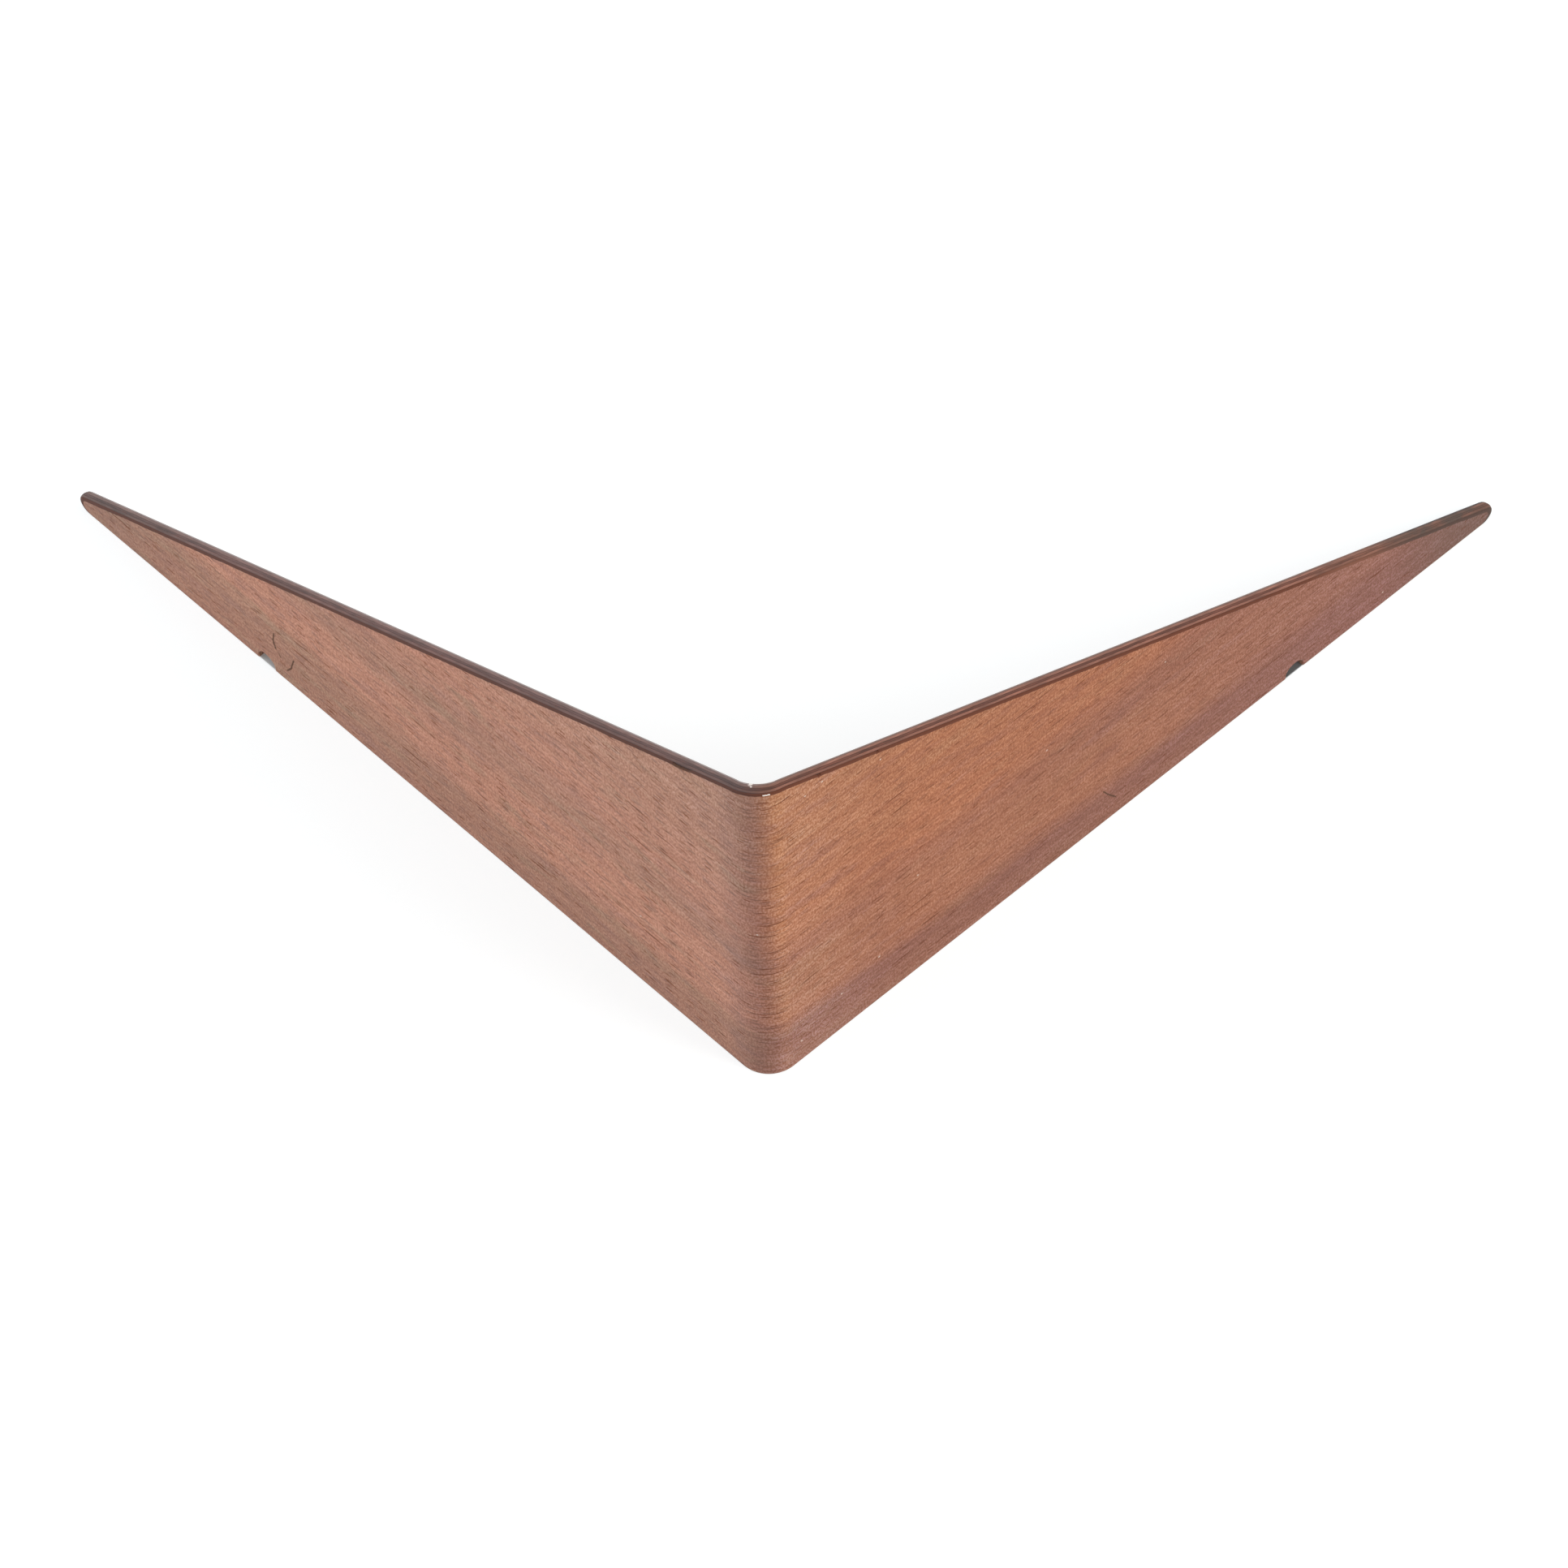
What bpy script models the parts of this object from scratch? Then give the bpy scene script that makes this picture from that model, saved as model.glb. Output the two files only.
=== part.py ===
"""A boomerang of moulded plywood: two long tapering wings that meet in one tight upright bend.

It is built as it is made. One flat outline serves every sheet, each sheet is bent round the same corner at
its own depth, and the stack of veneers, plies and glue films makes the wall. Only the tips differ, because the
end of each wing is sanded round after pressing. Metres, +Z up. The base edges lie on Z = 0, the bend points to
-Y, and the origin is the middle of the footprint.
"""

import math

import bmesh
import bpy

# Driving dimensions
OPENING_ANGLE = math.radians(94.0)  # between the two wings, seen from above
WING_LENGTH = 0.300  # along the base, from the sharp corner of the two wings to a sharp tip
BEND_HEIGHT = 0.150  # the highest point, over the bend
BEND_RADIUS = 0.0105  # outer face of the bend
CROWN_RADIUS = 0.0225  # joins the two sloping top edges over the bend, on the flat sheet
TIP_RADIUS = 0.0030  # rounds the end of each wing, on a sheet in the middle of the wall
NOTCH_FROM_TIP = 0.0922  # middle of each base notch, along the base from the sharp tip
NOTCH_WIDTH = 0.0070
NOTCH_SIDE = 0.0015  # straight height of the notch below its round top
FACE_VENEER = 0.0006
CROSSBAND = 0.00075
CORE_PLY = 0.0006
GLUE_FILM = 0.0001
BOND_GAP = 0.00002  # left between the faces of neighbouring sheets

# How finely the round stretches are divided
BEND_STEPS = 14
CROWN_STEPS = 10
TIP_STEPS = 10
NOTCH_STEPS = 8
SCORE_SNAP = 1e-6  # a corner this near a bend line lies on it

# Linear colours
TEAK = (0.33, 0.155, 0.09)
PLY = (0.16, 0.085, 0.06)
CORE = (0.10, 0.052, 0.04)
GLUE = (0.035, 0.018, 0.014)

# The stack from the outer face inwards: name, thickness, colour, roughness
SHEETS = (
    ("outer_face_veneer", FACE_VENEER, TEAK, 0.42),
    ("outer_glue_film", GLUE_FILM, GLUE, 0.35),
    ("outer_crossband", CROSSBAND, PLY, 0.40),
    ("outer_core_glue_film", GLUE_FILM, GLUE, 0.35),
    ("core_ply", CORE_PLY, CORE, 0.40),
    ("inner_core_glue_film", GLUE_FILM, GLUE, 0.35),
    ("inner_crossband", CROSSBAND, PLY, 0.40),
    ("inner_glue_film", GLUE_FILM, GLUE, 0.35),
    ("inner_face_veneer", FACE_VENEER, TEAK, 0.42),
)

# What follows from the driving dimensions
WALL = sum(sheet[1] for sheet in SHEETS) + BOND_GAP * (len(SHEETS) - 1)
HALF_OPENING = OPENING_ANGLE / 2
HALF_TURN = math.pi / 2 - HALF_OPENING
HALF_ARC = BEND_RADIUS * HALF_TURN
BEND_CENTRE_Y = BEND_RADIUS / math.cos(HALF_TURN)
FLAT_LENGTH = WING_LENGTH - BEND_RADIUS * math.tan(HALF_TURN) + HALF_ARC
CROWN_MIDDLE = BEND_HEIGHT - CROWN_RADIUS
TOP_SLOPE = math.atan2(CROWN_MIDDLE, FLAT_LENGTH) + math.asin(
    CROWN_RADIUS / math.hypot(CROWN_MIDDLE, FLAT_LENGTH)
)
TIP_START = 1 / math.tan(TOP_SLOPE / 2)  # the rounding of a tip starts this many radii before the sharp tip
NOTCH_MIDDLE = FLAT_LENGTH - NOTCH_FROM_TIP


def clear_scene():
    for item in list(bpy.data.objects):
        bpy.data.objects.remove(item, do_unlink=True)


def arc(along, height, radius, start, stop, steps):
    """Points on a circle of the flat sheet, from one angle to another."""
    turns = [start + (stop - start) * step / steps for step in range(steps + 1)]
    return [(along + radius * math.cos(turn), height + radius * math.sin(turn)) for turn in turns]


def notch_outline():
    """The round-topped notch in the base edge, walked from the bend towards the tip."""
    reach = NOTCH_WIDTH / 2
    top = arc(NOTCH_MIDDLE, NOTCH_SIDE, reach, math.pi, 0.0, NOTCH_STEPS)
    return [(NOTCH_MIDDLE - reach, 0.0)] + top + [(NOTCH_MIDDLE + reach, 0.0)]


def tip_radius(depth):
    """Grows towards both faces of the wall, so that each wing ends in a half round when seen from above."""
    reach = WALL / 2
    setback = reach - math.sqrt(reach**2 - (depth - reach) ** 2)
    return TIP_RADIUS + setback / (TIP_START - 1)


def half_outline(radius):
    """The right half of the flat sheet, along the base to the tip and back up to the middle of the crown."""
    lean = math.pi / 2 - TOP_SLOPE
    tip = arc(FLAT_LENGTH - radius * TIP_START, radius, radius, -math.pi / 2, lean, TIP_STEPS)
    crown = arc(0.0, CROWN_MIDDLE, CROWN_RADIUS, lean, math.pi / 2, CROWN_STEPS)
    return notch_outline() + tip + crown


def flat_sheet(radius):
    """One flat sheet, standing in the XZ plane and facing -Y, scored along every line where it will bend."""
    right = half_outline(radius)
    left = [(-along, height) for along, height in reversed(right[:-1])]
    sheet = bmesh.new()
    sheet.faces.new([sheet.verts.new((along, 0.0, height)) for along, height in right + left])
    for step in range(BEND_STEPS + 1):
        score = HALF_ARC * (2 * step / BEND_STEPS - 1)
        bmesh.ops.bisect_plane(
            sheet,
            geom=sheet.verts[:] + sheet.edges[:] + sheet.faces[:],
            dist=SCORE_SNAP,
            plane_co=(score, 0.0, 0.0),
            plane_no=(1.0, 0.0, 0.0),
        )
    return sheet


def bent(along, depth):
    """Where a point of the flat sheet goes, seen from above, on a sheet whose outer face lies this deep."""
    side = math.copysign(1.0, along)
    turn = min(abs(along), HALF_ARC) / BEND_RADIUS
    straight = max(abs(along) - HALF_ARC, 0.0)
    radius = BEND_RADIUS - depth
    x = side * (radius * math.sin(turn) + straight * math.sin(HALF_OPENING))
    y = BEND_CENTRE_Y - radius * math.cos(turn) + straight * math.cos(HALF_OPENING)
    return x, y


def footprint_middle():
    """Half way from the front of the bend to the back of the tips."""
    front = bent(0.0, 0.0)[1]
    tip = FLAT_LENGTH - tip_radius(WALL - FACE_VENEER / 2) * (TIP_START - 1)
    back = bent(tip, WALL)[1]
    return (front + back) / 2


def finish(name, colour, roughness):
    made = bpy.data.materials.new(name)
    made.use_nodes = True
    shader = made.node_tree.nodes["Principled BSDF"]
    shader.inputs["Base Color"].default_value = (*colour, 1.0)
    shader.inputs["Roughness"].default_value = roughness
    shader.inputs["Metallic"].default_value = 0.0
    made.diffuse_color = (*colour, 1.0)
    return made


def bent_sheet(name, thickness, colour, roughness, depth):
    """One sheet of the stack: the flat outline bent at its depth, and thickened inwards."""
    sheet = flat_sheet(tip_radius(depth + thickness / 2))
    for point in sheet.verts:
        point.co.x, point.co.y = bent(point.co.x, depth)
    for face in sheet.faces:
        face.smooth = True
    for edge in sheet.edges:
        edge.smooth = not edge.is_boundary
    mesh = bpy.data.meshes.new(name)
    sheet.to_mesh(mesh)
    sheet.free()
    mesh.materials.append(finish(name, colour, roughness))
    piece = bpy.data.objects.new(name, mesh)
    piece.location.y = -footprint_middle()
    wall = piece.modifiers.new("thickness", "SOLIDIFY")
    wall.thickness = thickness
    wall.offset = -1.0
    wall.use_even_offset = True
    return piece


def main():
    clear_scene()
    boomerang = bpy.data.collections.new("boomerang")
    bpy.context.scene.collection.children.link(boomerang)
    depth = 0.0
    for name, thickness, colour, roughness in SHEETS:
        boomerang.objects.link(bent_sheet(name, thickness, colour, roughness, depth))
        depth += thickness + BOND_GAP


main()
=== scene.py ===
# %% [markdown]
# # A boomerang of moulded plywood
# The object is one wall of five wood sheets and four glue films. It is cut to a long flat triangle and
# bent once round an upright former, so that two tapering wings meet in a tight nose. This lesson cuts and
# bends finer sheets in the same places, gives them teak and stained edges, and lights them for one
# portrait.
#
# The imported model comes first, because it fixes every size. Nothing below moves it: each new sheet stands
# where its packed sheet stands, and hides it.

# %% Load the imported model
import math

import bmesh
import bpy
from mathutils import Matrix, Vector, noise


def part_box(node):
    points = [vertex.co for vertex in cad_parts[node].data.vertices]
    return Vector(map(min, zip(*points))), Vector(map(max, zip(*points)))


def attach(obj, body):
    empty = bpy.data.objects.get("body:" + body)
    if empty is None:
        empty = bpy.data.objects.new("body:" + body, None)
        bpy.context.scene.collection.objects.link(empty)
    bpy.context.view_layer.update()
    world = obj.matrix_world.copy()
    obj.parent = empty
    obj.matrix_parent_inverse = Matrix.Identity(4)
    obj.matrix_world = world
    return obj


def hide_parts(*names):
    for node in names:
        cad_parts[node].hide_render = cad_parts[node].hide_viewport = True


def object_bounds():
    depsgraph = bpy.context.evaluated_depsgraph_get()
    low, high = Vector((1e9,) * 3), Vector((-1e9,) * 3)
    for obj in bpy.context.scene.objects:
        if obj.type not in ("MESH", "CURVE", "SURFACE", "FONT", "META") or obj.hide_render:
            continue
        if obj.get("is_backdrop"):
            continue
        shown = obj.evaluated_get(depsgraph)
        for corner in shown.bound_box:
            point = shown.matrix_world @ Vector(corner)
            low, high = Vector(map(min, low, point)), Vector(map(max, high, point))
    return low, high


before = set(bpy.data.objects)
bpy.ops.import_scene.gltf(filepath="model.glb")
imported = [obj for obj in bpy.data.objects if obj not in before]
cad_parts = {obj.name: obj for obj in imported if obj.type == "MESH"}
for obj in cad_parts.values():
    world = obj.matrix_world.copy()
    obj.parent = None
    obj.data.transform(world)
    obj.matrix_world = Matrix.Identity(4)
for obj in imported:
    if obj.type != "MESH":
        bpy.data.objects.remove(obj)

cad_low, cad_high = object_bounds()
print("packed sheets:", len(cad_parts), "in a box of", [round(side, 4) for side in cad_high - cad_low])

# %% [markdown]
# The wall is a stack, listed here from the outer face inwards. Its depths need no copying: every packed
# sheet has its own nose at the bend, and the distance from the foremost nose to a sheet's nose is that
# sheet's depth. The sheets lie a hair apart, so a thickness is the step to the next nose less that hair.

# %% Measure the stack of sheets
STACK = (
    "outer_face_veneer",
    "outer_glue_film",
    "outer_crossband",
    "outer_core_glue_film",
    "core_ply",
    "inner_core_glue_film",
    "inner_crossband",
    "inner_glue_film",
    "inner_face_veneer",
)
BOND_GAP = 0.00002
depths = [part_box(sheet)[0].y - cad_low.y for sheet in STACK]
thicknesses = [below - above - BOND_GAP for above, below in zip(depths, depths[1:])]
thicknesses.append(thicknesses[0])
wall = depths[-1] + thicknesses[-1]
print("wall of", round(wall * 1000, 2), "mm:", [round(sheet * 1000, 2) for sheet in thicknesses])

# %% [markdown]
# One flat outline serves every sheet. It is a low triangle whose peak is rounded over the bend, whose
# tips are rounded small, and whose base has a round-topped notch in each wing. These are its driving
# sizes in metres. The height comes from the frame, and the rest follows: a sheet that is bent to a radius
# keeps its length along the outer face, so the flat length is the straight wing plus the arc of half the
# bend.

# %% The sizes of the flat cut
OPENING_ANGLE = math.radians(94.0)
WING_LENGTH = 0.300
BEND_RADIUS = 0.0105
CROWN_RADIUS = 0.0225
TIP_RADIUS = 0.0030
NOTCH_FROM_TIP = 0.0922
NOTCH_WIDTH = 0.0070
NOTCH_SIDE = 0.0015

half_turn = (math.pi - OPENING_ANGLE) / 2
half_arc = BEND_RADIUS * half_turn
bend_middle_y = cad_low.y + BEND_RADIUS
flat_length = WING_LENGTH - BEND_RADIUS * math.tan(half_turn) + half_arc
crown_middle = cad_high.z - CROWN_RADIUS
top_slope = math.atan2(crown_middle, flat_length)
top_slope += math.asin(CROWN_RADIUS / math.hypot(crown_middle, flat_length))
tip_start = 1 / math.tan(top_slope / 2)
tip_middle = flat_length - TIP_RADIUS * tip_start
notch_middle = flat_length - NOTCH_FROM_TIP
print("flat length of a wing:", round(flat_length, 4))
print("slope of its top edge:", round(math.degrees(top_slope), 2), "degrees")

# %% [markdown]
# The outline is drawn as on a drawing board, with a pen and a pair of compasses. Extruding one vertex
# draws a straight line, and spinning one vertex round a centre draws an arc that is truly round. A
# bevelled corner would be quicker, but on a sharp tip its curve is longer than a circle's, and the wing
# would end outside its box. Half is drawn, mirrored and filled.

# %% Draw the outline and fill it
CROWN_STEPS = 24
TIP_STEPS = 18
NOTCH_STEPS = 18
WELD = 0.000001


def draw_line(bm, pen, along, height):
    pen = bmesh.ops.extrude_vert_indiv(bm, verts=[pen])["verts"][0]
    pen.co = (along, 0, height)
    return pen


def draw_arc(bm, pen, along, height, turn, steps):
    middle = (along, 0, height)
    drawn = bmesh.ops.spin(bm, geom=[pen], cent=middle, axis=(0, 1, 0), angle=turn, steps=steps)
    return drawn["geom_last"][0]


def draw_half(bm):
    """From the crown down the sloping top edge, round the tip, and back along the base to the middle."""
    near, far = notch_middle - NOTCH_WIDTH / 2, notch_middle + NOTCH_WIDTH / 2
    tip_along = tip_middle + TIP_RADIUS * math.sin(top_slope)
    tip_height = TIP_RADIUS * (1 + math.cos(top_slope))
    pen = bm.verts.new((0, 0, cad_high.z))
    pen = draw_arc(bm, pen, 0, crown_middle, top_slope, CROWN_STEPS)
    pen = draw_line(bm, pen, tip_along, tip_height)
    pen = draw_arc(bm, pen, tip_middle, TIP_RADIUS, math.pi - top_slope, TIP_STEPS)
    pen = draw_line(bm, pen, far, 0)
    pen = draw_line(bm, pen, far, NOTCH_SIDE)
    pen = draw_arc(bm, pen, notch_middle, NOTCH_SIDE, -math.pi, NOTCH_STEPS)
    pen = draw_line(bm, pen, near, 0)
    draw_line(bm, pen, 0, 0)


def cut_flat(trim):
    """The filled outline, standing in the XZ plane, with a strip as wide as trim taken off all round."""
    bm = bmesh.new()
    draw_half(bm)
    bmesh.ops.mirror(bm, geom=bm.verts[:] + bm.edges[:], matrix=Matrix.Identity(4), merge_dist=WELD, axis="X")
    bmesh.ops.contextual_create(bm, geom=bm.edges[:])
    if trim:
        strip = bmesh.ops.inset_region(bm, faces=bm.faces[:], thickness=trim, use_even_offset=True)
        bmesh.ops.delete(bm, geom=strip["faces"], context="FACES")
    return bm


trial = cut_flat(0)
area = trial.faces[0].calc_area()
print("outline:", len(trial.verts), "points,", len(trial.faces), "face of", round(area, 4), "m2")
trial.free()

# %% [markdown]
# A sheet gets its thickness while it is still flat, because there the operators are simple: extrude the
# face back, inset a narrow border, and bevel the arris, which is the long edge between face and rim. On
# the real object the arris was broken with sandpaper, and that rounding is what catches the light along
# the top. The border keeps the wide faces flat and gives the finish a measure of how near the rim it is.

# %% Thicken a sheet and round its arrises
BORDER = 0.0015
FACE_ARRIS = 0.00045
ARRIS_STEPS = 4
FACING = 0.9


def thicken(bm, thickness):
    grown = bmesh.ops.extrude_face_region(bm, geom=bm.faces[:])["geom"]
    back = [part for part in grown if isinstance(part, bmesh.types.BMVert)]
    bmesh.ops.translate(bm, verts=back, vec=(0, thickness, 0))
    bmesh.ops.recalc_face_normals(bm, faces=bm.faces[:])


def border(bm):
    """Insets both wide faces, one after the other."""
    for side in (-1, 1):
        wide = [face for face in bm.faces if face.normal.y * side > FACING]
        bmesh.ops.inset_region(bm, faces=wide, thickness=BORDER, use_even_offset=True)


def round_arris(bm, side, radius):
    """Rounds the rim of the face that looks along -Y (side -1) or +Y (side 1)."""
    rim = []
    for edge in bm.edges:
        facing = [abs(face.normal.y) > FACING for face in edge.link_faces]
        looks = [face for face in edge.link_faces if face.normal.y * side > FACING]
        if looks and not all(facing):
            rim.append(edge)
    bmesh.ops.bevel(bm, geom=rim, offset=radius, offset_type="OFFSET", segments=ARRIS_STEPS, profile=0.5,
                    affect="EDGES", clamp_overlap=False, material=-1)
    return len(rim)


trial = cut_flat(0)
thicken(trial, thicknesses[0])
border(trial)
print("edges rounded on one face:", round_arris(trial, -1, FACE_ARRIS), "faces now:", len(trial.faces))
trial.free()

# %% [markdown]
# Bending needs lines to bend along. bisect_plane scores the slab with upright planes, close together
# where it will turn and wide apart on the wings, and then every point is wrapped round the former: along
# the arc while it is within the bend, and on along the wing after it. A Simple Deform modifier could bend
# it too, but not with the straight wings that start at an exact line.

# %% Score a slab and bend it
BEND_STEPS = 22
WING_STEP = 0.004
ROW_STEP = 0.010
SNAP = 0.0000005
ALONG, UP = Vector((1, 0, 0)), Vector((0, 0, 1))


def score(bm, direction, places):
    for place in places:
        bmesh.ops.bisect_plane(bm, geom=bm.verts[:] + bm.edges[:] + bm.faces[:], dist=SNAP,
                               plane_co=direction * place, plane_no=direction)


def score_lines():
    """Places along the sheet: inside the bend, and then over the wing."""
    lines = [half_arc * step / BEND_STEPS for step in range(-BEND_STEPS, BEND_STEPS + 1)]
    steps = int((flat_length - half_arc) / WING_STEP)
    wing = [half_arc + WING_STEP * step for step in range(1, steps + 1)]
    return lines + wing + [-place for place in wing]


def bend(bm, depth):
    for corner in bm.verts:
        along, below, height = corner.co
        turn = min(abs(along), half_arc) / BEND_RADIUS
        straight = max(abs(along) - half_arc, 0)
        radius = BEND_RADIUS - depth - below
        across = radius * math.sin(turn) + straight * math.cos(half_turn)
        back = bend_middle_y - radius * math.cos(turn) + straight * math.sin(half_turn)
        corner.co = (math.copysign(across, along), back, height)


print("score lines:", len(score_lines()))

# %% [markdown]
# Seen from above, each wing ends in a half round, because the end of the wall was sanded after pressing.
# So a sheet near a face of the wall has a larger tip radius than one in the middle. Circles that fill the
# same corner are enlargements of one another about that corner, and an enlargement keeps straight edges
# straight. So the slab is grown away from its sharp tip, by an amount that depends on the depth in the
# wall and dies out along the wing.

# %% Round the ends of the wings
TIP_REACH = 0.013
TIP_BLEND = 0.016


def ease(share):
    share = min(max(share, 0.0), 1.0)
    return share * share * (3 - 2 * share)


def round_tips(bm, depth):
    half = wall / 2
    for corner in bm.verts:
        along, below, height = corner.co
        short = flat_length - abs(along)
        near = 1 - ease((math.hypot(short, height) - TIP_REACH) / TIP_BLEND)
        setback = half - math.sqrt(max(half ** 2 - (depth + below - half) ** 2, 0))
        growth = 1 + near * setback / (TIP_RADIUS * (tip_start - 1))
        corner.co = (math.copysign(flat_length - short * growth, along), below, height * growth)


print("the faces end", round(wall / 2 * 1000, 2), "mm before the middle of the wall")

# %% [markdown]
# A finish that follows the sheet needs to know where on the flat leaf it is, since teak's grain runs
# along the leaf and wraps round the nose. So the flat place is written into a UV map, in metres, before
# the sheet is bent. A second map runs along and through the wall, for the ply edges. One number per
# point, called rim, holds how far the point lies below the sloping top edge, which is where stain and
# lacquer gather.

# %% Write the flat place into the mesh
def below_top_edge(along, height):
    """Distance from the top edge, crown and tips of the flat cut."""
    along = abs(along)
    lean = Vector((math.sin(top_slope), math.cos(top_slope)))
    crown = Vector((along, height - crown_middle))
    tip = Vector((along - tip_middle, height - TIP_RADIUS))
    if crown.x * lean.y < crown.y * lean.x:
        return CROWN_RADIUS - crown.length
    if tip.x > 0 and tip.x * lean.y > tip.y * lean.x:
        return TIP_RADIUS - tip.length
    return CROWN_RADIUS - crown.dot(lean)


def write_places(bm, depth):
    leaf = bm.loops.layers.uv.new("leaf")
    edge = bm.loops.layers.uv.new("edge")
    rim = bm.verts.layers.float.new("rim")
    for corner in bm.verts:
        corner[rim] = below_top_edge(corner.co.x, corner.co.z)
    for face in bm.faces:
        for loop in face.loops:
            along, below, height = loop.vert.co
            loop[leaf].uv = (along, height)
            loop[edge].uv = (along, depth + below)


print("the crown's top lies", round(below_top_edge(0, cad_high.z) * 1000, 3), "mm below itself")

# %% [markdown]
# The outer arris has been knocked. One long splinter of veneer is missing left of the nose, and two small
# nicks lie right of it. They are real dents: the slab is scored finely there, and the rows of points
# along its rim are pushed down, most at the arris and not at all at the border. A noise makes the floor
# of each dent uneven.

# %% Chip the arris
# Each chip: its middle along the leaf, its half length and its depth
CHIPS = ((-0.0263, 0.0037, 0.0009), (0.0206, 0.0007, 0.0005), (0.0414, 0.0006, 0.0004))
CHIP_STEPS = 9
CHIP_NOISE = 1700
CHIP_SQUARE = 6


def chip_lines():
    steps = range(-CHIP_STEPS, CHIP_STEPS + 1)
    return [middle + half * step / CHIP_STEPS for middle, half, deep in CHIPS for step in steps]


def chip_arris(bm):
    rim = bm.verts.layers.float["rim"]
    for corner in bm.verts:
        for middle, half, deep in CHIPS:
            off = abs(corner.co.x - middle) / half
            if off < 1 and corner[rim] < BORDER:
                uneven = 0.8 + 0.5 * noise.noise((corner.co.x * CHIP_NOISE, 0, 0))
                corner.co.z -= deep * uneven * (1 - off ** CHIP_SQUARE) * (1 - corner[rim] / BORDER)


print("chips:", len(CHIPS), "scored by", len(chip_lines()), "lines")

# %% [markdown]
# All the steps come together in one function that makes a sheet from its place in the stack. Only the two
# faces need a full rounding. The plies between them get a touch, and they and the glue stop a little
# short of the rim, as soft layers do after sanding, which draws fine shadow lines along the edge.

# %% Make one bent sheet
SMOOTH_UNDER = math.radians(40)


def make_sheet(name, trim, front_round, back_round, chipped=False):
    order = STACK.index(name)
    bm = cut_flat(trim)
    thicken(bm, thicknesses[order])
    border(bm)
    if front_round:
        round_arris(bm, -1, front_round)
    if back_round:
        round_arris(bm, 1, back_round)
    score(bm, ALONG, score_lines())
    score(bm, UP, [ROW_STEP * row for row in range(1, int(cad_high.z / ROW_STEP) + 1)])
    if chipped:
        score(bm, ALONG, chip_lines())
    write_places(bm, depths[order])
    if chipped:
        chip_arris(bm)
    round_tips(bm, depths[order])
    bend(bm, depths[order])
    mesh = bpy.data.meshes.new(name + "_sheet")
    bm.to_mesh(mesh)
    bm.free()
    mesh.shade_smooth()
    mesh.set_sharp_from_angle(angle=SMOOTH_UNDER)
    sheet = bpy.data.objects.new(name + "_sheet", mesh)
    bpy.context.scene.collection.objects.link(sheet)
    even = sheet.modifiers.new("even_shading", "WEIGHTED_NORMAL")
    even.keep_sharp = True
    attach(sheet, "root")
    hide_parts(name)
    print(name, "has", len(mesh.polygons), "faces")
    return sheet


# %% [markdown]
# Now the nine sheets. The stack is dressed from the outer face inwards.

# %% Build the stack
PLY_ARRIS = 0.00006
CROSSBAND_TRIM = 0.00003
CORE_TRIM = 0.00006
GLUE_TRIM = 0.00012

sheets = {}
for name in STACK:
    if name == "outer_face_veneer":
        sheets[name] = make_sheet(name, 0, FACE_ARRIS, 0, chipped=True)
    elif name == "inner_face_veneer":
        sheets[name] = make_sheet(name, 0, 0, FACE_ARRIS)
    elif name.endswith("glue_film"):
        sheets[name] = make_sheet(name, GLUE_TRIM, 0, 0)
    elif name == "core_ply":
        sheets[name] = make_sheet(name, CORE_TRIM, PLY_ARRIS, PLY_ARRIS)
    else:
        sheets[name] = make_sheet(name, CROSSBAND_TRIM, PLY_ARRIS, PLY_ARRIS)

# %% [markdown]
# The finishes are built from shader nodes. Small helpers keep them readable: they place a node and feed
# its inputs, do sums, fade a value softly from one level to another, lay one colour over another, and
# make groups of nodes.

# %% Helpers for shader nodes
def add(tree, kind, feeds=(), **settings):
    """One node. Each feed is a plain value or another node's output."""
    node = tree.nodes.new("ShaderNode" + kind)
    for name, value in settings.items():
        setattr(node, name, value)
    for socket, feed in dict(feeds).items():
        if isinstance(feed, bpy.types.NodeSocket):
            tree.links.new(feed, node.inputs[socket])
        else:
            node.inputs[socket].default_value = feed
    return node


def work(tree, operation, *terms):
    return add(tree, "Math", enumerate(terms), operation=operation).outputs[0]


def fade(tree, value, start, stop, low=0.0, high=1.0):
    feeds = {"Value": value, "From Min": start, "From Max": stop, "To Min": low, "To Max": high}
    return add(tree, "MapRange", feeds, interpolation_type="SMOOTHSTEP").outputs["Result"]


def layer(tree, amount, under, over, mode="MIX"):
    return add(tree, "Mix", {0: amount, 6: under, 7: over}, data_type="RGBA", blend_type=mode).outputs[2]


def dim(tree, under, factor):
    """A colour times a number or another colour."""
    return layer(tree, 1.0, under, factor, "MULTIPLY")


def vector(tree, x, y, z):
    return add(tree, "CombineXYZ", {"X": x, "Y": y, "Z": z}).outputs[0]


def cloud(tree, place, scale, detail=2.0, roughness=0.5):
    feeds = {"Vector": place, "Scale": scale, "Detail": detail, "Roughness": roughness}
    return add(tree, "TexNoise", feeds).outputs["Fac"]


def new_material(name):
    material = bpy.data.materials.new(name)
    material.use_nodes = True
    tree = material.node_tree
    return material, tree, tree.nodes["Principled BSDF"]


def new_group(name, inputs, outputs):
    """An empty shader node group with named sockets. Returns its tree, its inputs and its output node."""
    group = bpy.data.node_groups.new(name, "ShaderNodeTree")
    for socket, kind in inputs.items():
        group.interface.new_socket(name=socket, in_out="INPUT", socket_type="NodeSocket" + kind)
    for socket, kind in outputs.items():
        group.interface.new_socket(name=socket, in_out="OUTPUT", socket_type="NodeSocket" + kind)
    return group, group.nodes.new("NodeGroupInput").outputs, group.nodes.new("NodeGroupOutput").inputs


def fill_group(tree, group, feeds):
    return add(tree, "Group", feeds, node_tree=group)


print("shader helpers ready")

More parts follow.
